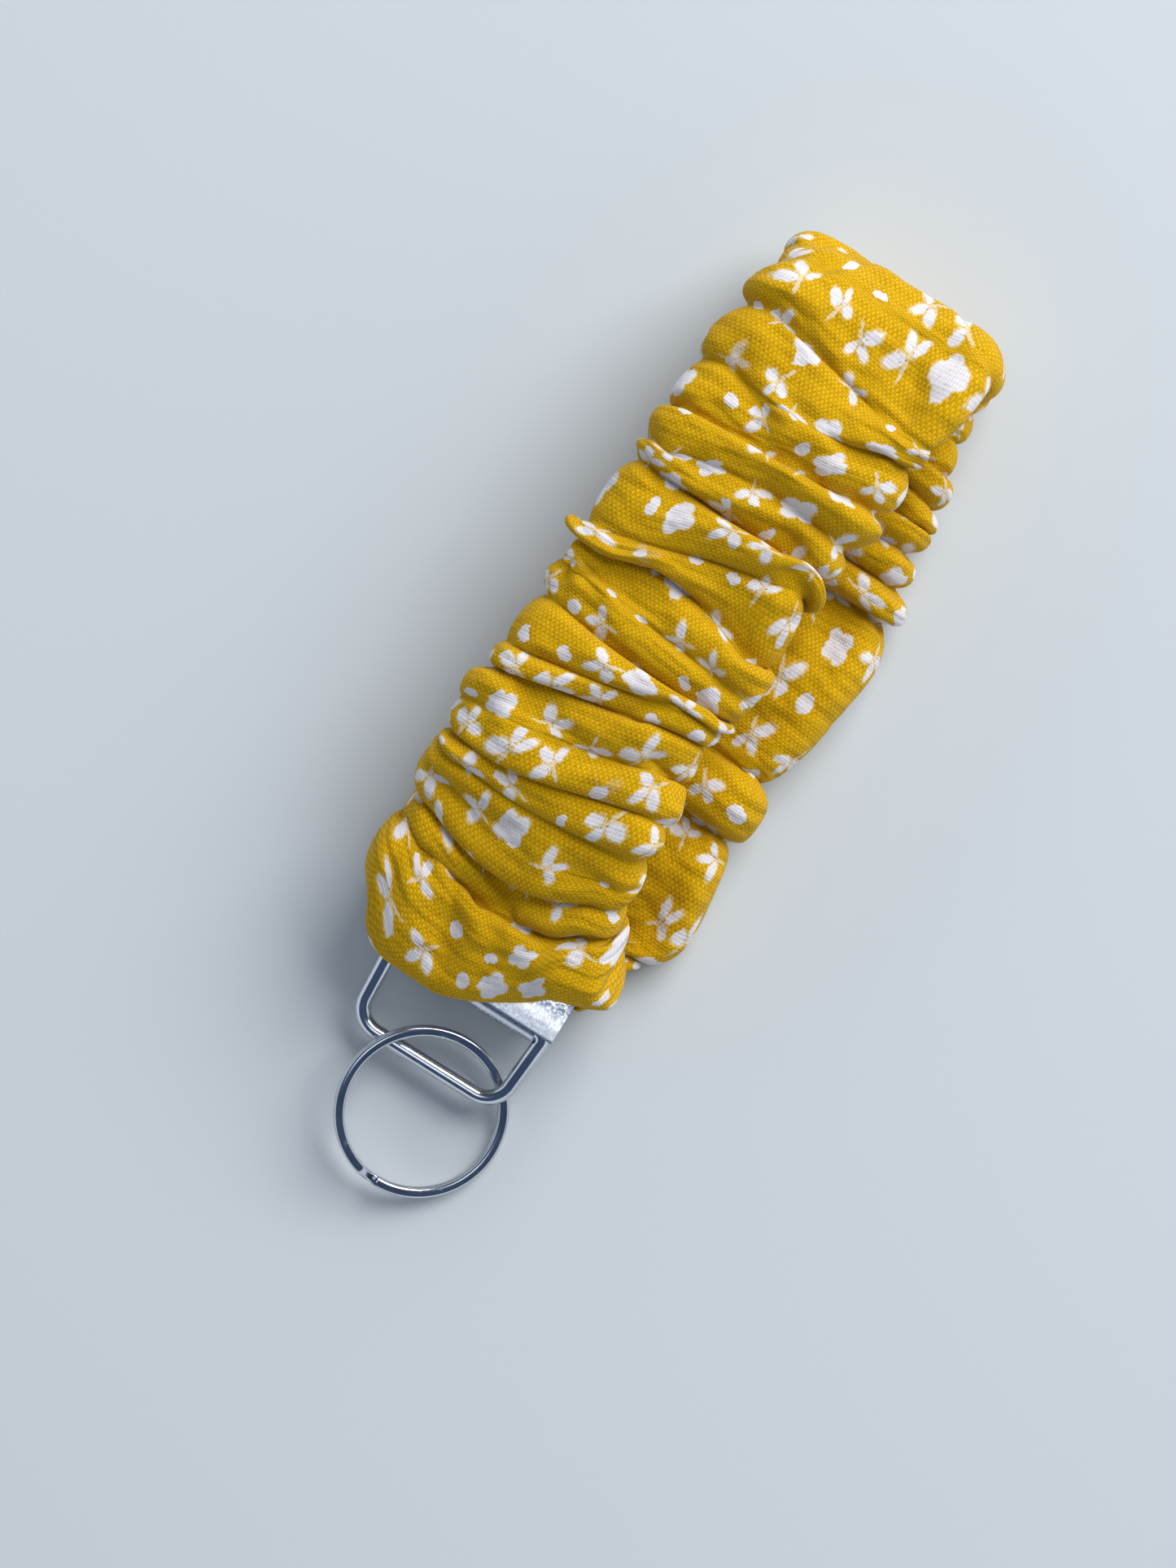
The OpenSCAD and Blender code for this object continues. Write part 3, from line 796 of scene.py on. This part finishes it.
def spangled_steel():
    """Zinc-plated sheet: a painted highlight along its roll, spangle crystals behind it with painted dark
    reflections on some, and a painted dark reflection on the roll.
    """
    p = Paint("spangled_steel", 0.25, 1.0)
    where = p.node("TexCoord").outputs["Object"]
    warp = p.noise(where, 900.0, 2.0)
    x, y, z = p.split(where)
    flakes = p.node("TexVoronoi", Scale=2600.0, Randomness=1.0)
    p.link(p.join(x + warp * 0.0008, y + warp * 0.0005, z), flakes.inputs["Vector"])
    shine, turn, _ = p.split(flakes.outputs["Color"])
    fine = p.noise(where, 4200.0, 3.0)
    behind = (x - ROLL_X).step(*ROLL_HIGHLIGHT)
    roll = (x - ROLL_X).step(1.9 * MM, 1.2 * MM)
    # painted reflection: the darker spangle crystals behind the highlight are painted dark navy
    dark = (shine * 0.55 + fine * 0.45).step(0.70, 0.44) * behind
    colour = p.blend(dark * 0.92, (0.97, 0.97, 1.0), (0.16, 0.21, 0.32))
    # painted reflection: the roll is painted dark navy-grey
    colour = p.blend(roll * 0.6, colour, (0.34, 0.38, 0.46))
    rough = 0.16 + turn * 0.10 + fine * 0.12
    return p.finish(colour, rough, p.bump(fine * 0.6 + shine * 0.4, 0.02 * MM, 0.35))


RIB_GAP, PICK_GAP = 1.2, 0.8  # mm, across and along the elastic


def knitted_elastic():
    """Cream elastic with lengthwise ribs and cross threads."""
    p = Paint("knitted_elastic", 0.85)
    where = p.node("TexCoord").outputs["Object"]
    x, y, z = p.split(where)
    ribs = (y * (2 * math.pi / (RIB_GAP * MM))).op("SINE")
    picks = ((x + z) * (2 * math.pi / (PICK_GAP * MM))).op("SINE")
    height = ribs * 0.6 + picks * 0.4
    fuzz = p.noise(where, 3000.0, 2.0)
    # painted shade: the colour is darker in the grooves between ribs and cross threads; the fuzz term is real tone
    share = height.step(-0.8, 0.8) * (0.6 + fuzz * 0.4)
    colour = p.blend(share, (0.42, 0.34, 0.22), (0.78, 0.70, 0.55))
    p.shader.inputs["Sheen Weight"].default_value = 0.1
    return p.finish(colour, 0.8 + fuzz * 0.1, p.bump(height, 0.08 * MM, 0.7))


def sewing_thread():
    """Twisted polyester thread."""
    p = Paint("sewing_thread", 0.6)
    where = p.node("TexCoord").outputs["Object"]
    x, y, z = p.split(where)
    twist = ((x + y + z) * (2 * math.pi / (0.35 * MM))).op("SINE")
    fuzz = p.noise(where, 6000.0, 2.0)
    # painted shade: the colour is darker in the grooves of the twist; the fuzz term is real tone
    share = twist.step(-1.0, 1.0) * (0.7 + fuzz * 0.3)
    colour = p.blend(share, (0.40, 0.24, 0.03), (0.66, 0.44, 0.08))
    p.shader.inputs["Sheen Weight"].default_value = 0.2
    return p.finish(colour, 0.5 + fuzz * 0.2, p.bump(twist, 0.03 * MM, 0.8))


def dress(node, material):
    """Gives a carried-over CAD node its material."""
    mesh = frame["nodes"][node].data
    mesh.materials.clear()
    mesh.materials.append(material)


def swept_tube(name, centres, sides_dir, up_dir, section):
    """Closed tube along a line of centres: section is a ring of (sideways, upwards) offsets."""
    count, around = len(centres), len(section)
    pts = [centres + sides_dir * a + up_dir * b for a, b in section]
    verts = np.stack(pts, 1).reshape(-1, 3)
    faces = tube_faces(count, around)
    faces.append(tuple(range(around))[::-1])
    faces.append(tuple(range((count - 1) * around, count * around)))
    mesh = bpy.data.meshes.new(name)
    mesh.from_pydata(verts.tolist(), [], faces)
    mesh.validate()
    for poly in mesh.polygons:
        poly.use_smooth = len(poly.vertices) == 4
    build = bmesh.new()
    build.from_mesh(mesh)
    bmesh.ops.recalc_face_normals(build, faces=build.faces)
    build.to_mesh(mesh)
    build.free()
    return add_object(name, mesh)


def rounded_section(half_w, half_h, power=2.8, count=20):
    """Ring of points of a rounded rectangle."""
    out = []
    for k in range(count):
        a = 2 * math.pi * k / count
        c, s = math.cos(a), math.sin(a)
        out.append((half_w * math.copysign(abs(c) ** (2 / power), c),
                    half_h * math.copysign(abs(s) ** (2 / power), s)))
    return out


RING_WIRE = (1.45, 0.95)  # mm, radial width and height of the ring's wire
KINK_AT, KINK_ARC, END_GAP, TURN_GAP = 170.0, 13.0, 0.6, 0.03  # degrees, and mm for the last


def make_ring():
    """One wire in two turns, with the short kink where it steps from one to the other."""
    mount = next(m for m in frame["record"]["mounts"] if m["name"] == "key_ring")
    centre, axis = Vector(mount["pos_m"]), Vector(mount["axis"]).normalized()
    turn = Vector((0, 0, 1)).rotation_difference(axis).to_matrix()
    radius = (mount["dims"]["r_mm"] + RING_WIRE[0] / 2) * MM
    lift = (RING_WIRE[1] + TURN_GAP) / 2 * MM
    half = KINK_ARC / 2
    angles = np.concatenate([
        np.linspace(half + END_GAP, 360 - half, 120),
        np.linspace(360 - half, 360 + half, 14)[1:-1],
        np.linspace(360 + half, 720 - half - END_GAP, 120)])
    share = np.clip((angles - 360 + half) / KINK_ARC, 0, 1)
    height = lift * (1 - 2 * smooth_step(share))
    a = np.radians(angles + KINK_AT)
    m = np.array(turn)
    outward = np.stack([np.cos(a), np.sin(a), 0 * a], 1) @ m.T
    up = np.broadcast_to(np.array([0, 0, 1.0]) @ m.T, outward.shape)
    centres = np.array(centre) + outward * radius + up * height[:, None]
    section = [(w * MM, h * MM) for w, h in rounded_section(RING_WIRE[0] / 2, RING_WIRE[1] / 2)]
    ob = swept_tube("key_ring", centres, outward, up, section)
    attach(ob, "split_ring")
    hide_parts("split_ring")
    return ob


THREAD_R = 0.14  # mm


def make_seam(inside):
    """Row of lockstitches down the sleeve's long seam, just inside the cloth."""
    step = np.diff(inside, axis=0)
    ahead = np.vstack([step, step[-1:]])
    ahead /= np.maximum(np.linalg.norm(ahead, axis=1, keepdims=True), 1e-9)
    side = np.tile(np.array([0.0, 1.0, 0.0]), (len(inside), 1))
    up = np.cross(ahead, side)
    up /= np.maximum(np.linalg.norm(up, axis=1, keepdims=True), 1e-9)
    side = np.cross(up, ahead)
    section = [(w * MM, h * MM) for w, h in rounded_section(THREAD_R, THREAD_R, 2.0, 6)]
    ob = swept_tube("seam_thread", inside, side, up, section)
    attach(ob, "strap")
    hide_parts("seam_stitching")
    return ob


sleeve, seam = make_sleeve()
seam.data.materials.append(sewing_thread())
sleeve.data.materials.append(printed_cotton())
ring = make_ring()
ring.data.materials.append(chrome("ring_nickel", (0.50, 0.52, 0.56)))
dress("wire_loop", chrome("loop_nickel", (0.54, 0.56, 0.60)))
dress("crimp_clamp", spangled_steel())
dress("elastic_band", knitted_elastic())
dress("end_stitching", sewing_thread())


# ---------------------------------------------------------------- stage and camera
TABLE_HALF = 3.0
TABLE_GREY = (0.62, 0.655, 0.67, 1)
WINDOW_PLACE, WINDOW_SIZE, WINDOW_WATTS = (1.2, -0.30, 1.0), 1.3, 33
WALL, CEILING = (0.78, 0.86, 0.93, 1), (1.4, 1.5, 1.6, 1)
SKY = [(0.0, WALL), (0.40, WALL), (0.58, (0.05, 0.08, 0.15, 1)), (0.97, (0.06, 0.09, 0.16, 1)),
       (0.99, CEILING), (1.0, CEILING)]  # from the horizon up
SENSOR = 36  # mm
CAMERA_PLACE, CAMERA_TURN = (-0.0109, 0.0010, 0.9), -57.9  # straight down; degrees about Z
SEEN_WIDTH, SEEN_HEIGHT = 0.2215, 0.007  # width in view, at that height above the table


def stage():
    """Pale table, room and one large soft window."""
    me = bpy.data.meshes.new("table_top")
    s = TABLE_HALF
    me.from_pydata([(-s, -s, 0), (s, -s, 0), (s, s, 0), (-s, s, 0)], [], [(0, 1, 2, 3)])
    floor = add_object("table_top", me)
    paint = Paint("table", 0.7)
    paint.shader.inputs["Base Color"].default_value = TABLE_GREY
    floor.data.materials.append(paint.mat)
    bpy.context.scene.world = sky()
    area_light("window", WINDOW_PLACE, WINDOW_SIZE, WINDOW_WATTS)
    bpy.context.scene.view_settings.view_transform = "Standard"


def area_light(name, place, size, watts):
    """Square lamp that faces the object."""
    data = bpy.data.lights.new(name, "AREA")
    data.energy, data.size = watts, size
    lamp = add_object(name, data)
    lamp.location = place
    lamp.rotation_mode = "QUATERNION"
    lamp.rotation_quaternion = (-Vector(place)).to_track_quat("-Z", "Y")


def sky():
    """Pale walls all round, a darker upper wall and a pale ceiling."""
    world = bpy.data.worlds.new("room")
    world.use_nodes = True
    tree = world.node_tree
    where = tree.nodes.new("ShaderNodeTexCoord")
    split = tree.nodes.new("ShaderNodeSeparateXYZ")
    tree.links.new(where.outputs["Generated"], split.inputs[0])
    ramp = tree.nodes.new("ShaderNodeValToRGB")
    tree.links.new(split.outputs[2], ramp.inputs[0])
    stops = ramp.color_ramp
    stops.elements[0].position, stops.elements[0].color = SKY[0]
    stops.elements[1].position, stops.elements[1].color = SKY[-1]
    for at, colour in SKY[1:-1]:
        stops.elements.new(at).color = colour
    tree.links.new(ramp.outputs[0], tree.nodes["Background"].inputs[0])
    tree.nodes["Background"].inputs[1].default_value = 1.0
    return world


def camera():
    """Camera straight above the object, looking down."""
    data = bpy.data.cameras.new("camera")
    data.sensor_width = SENSOR
    data.lens = SENSOR * (CAMERA_PLACE[2] - SEEN_HEIGHT) / SEEN_WIDTH
    cam = add_object("camera", data)
    cam.location = CAMERA_PLACE
    cam.rotation_euler = (0, 0, math.radians(CAMERA_TURN))
    bpy.context.scene.camera = cam


stage()
camera()
